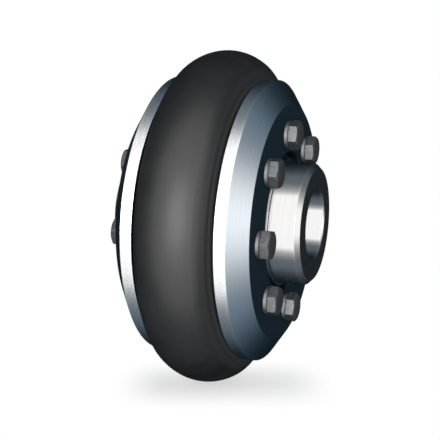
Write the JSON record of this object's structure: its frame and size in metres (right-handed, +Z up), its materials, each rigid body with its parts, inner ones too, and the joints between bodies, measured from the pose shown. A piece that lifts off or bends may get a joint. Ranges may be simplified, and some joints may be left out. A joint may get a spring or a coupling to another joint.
{
  "type": "shaft coupling",
  "caption": "Flexible shaft coupling: a moulded rubber tyre clamped between bevelled steel rings that are bolted to two bored hubs.",
  "frame": {"origin": "centre of the coupling: on the shaft axis, midway between the two hubs", "axes": "+X along the shaft axis towards the right-hand hub, +Z up, the shaft lying level as it does in use"},
  "size_m": [0.126, 0.22, 0.22],
  "materials": {
    "tyre_rubber": "satin black moulded rubber",
    "hub_steel": "turned and polished steel with fine turning marks",
    "ring_steel": "turned steel with a cool tint, bright on the rim and cone and dark on the flat face",
    "bolt_steel": "dull grey plated steel",
    "washer_steel": "plated spring steel"
  },
  "bodies": {
    "root": {"tyre": "tyre_rubber", "hub_left": "hub_steel", "clamp_ring_left": "ring_steel", "bolt_left_1": "bolt_steel", "lock_washer_left_1": "washer_steel", "bolt_left_2": "bolt_steel", "lock_washer_left_2": "washer_steel", "bolt_left_3": "bolt_steel", "lock_washer_left_3": "washer_steel", "bolt_left_4": "bolt_steel", "lock_washer_left_4": "washer_steel", "bolt_left_5": "bolt_steel", "lock_washer_left_5": "washer_steel", "bolt_left_6": "bolt_steel", "lock_washer_left_6": "washer_steel", "bolt_left_7": "bolt_steel", "lock_washer_left_7": "washer_steel", "bolt_left_8": "bolt_steel", "lock_washer_left_8": "washer_steel", "hub_right": "hub_steel", "clamp_ring_right": "ring_steel", "bolt_right_1": "bolt_steel", "lock_washer_right_1": "washer_steel", "bolt_right_2": "bolt_steel", "lock_washer_right_2": "washer_steel", "bolt_right_3": "bolt_steel", "lock_washer_right_3": "washer_steel", "bolt_right_4": "bolt_steel", "lock_washer_right_4": "washer_steel", "bolt_right_5": "bolt_steel", "lock_washer_right_5": "washer_steel", "bolt_right_6": "bolt_steel", "lock_washer_right_6": "washer_steel", "bolt_right_7": "bolt_steel", "lock_washer_right_7": "washer_steel", "bolt_right_8": "bolt_steel", "lock_washer_right_8": "washer_steel"}
  },
  "joints": []
}
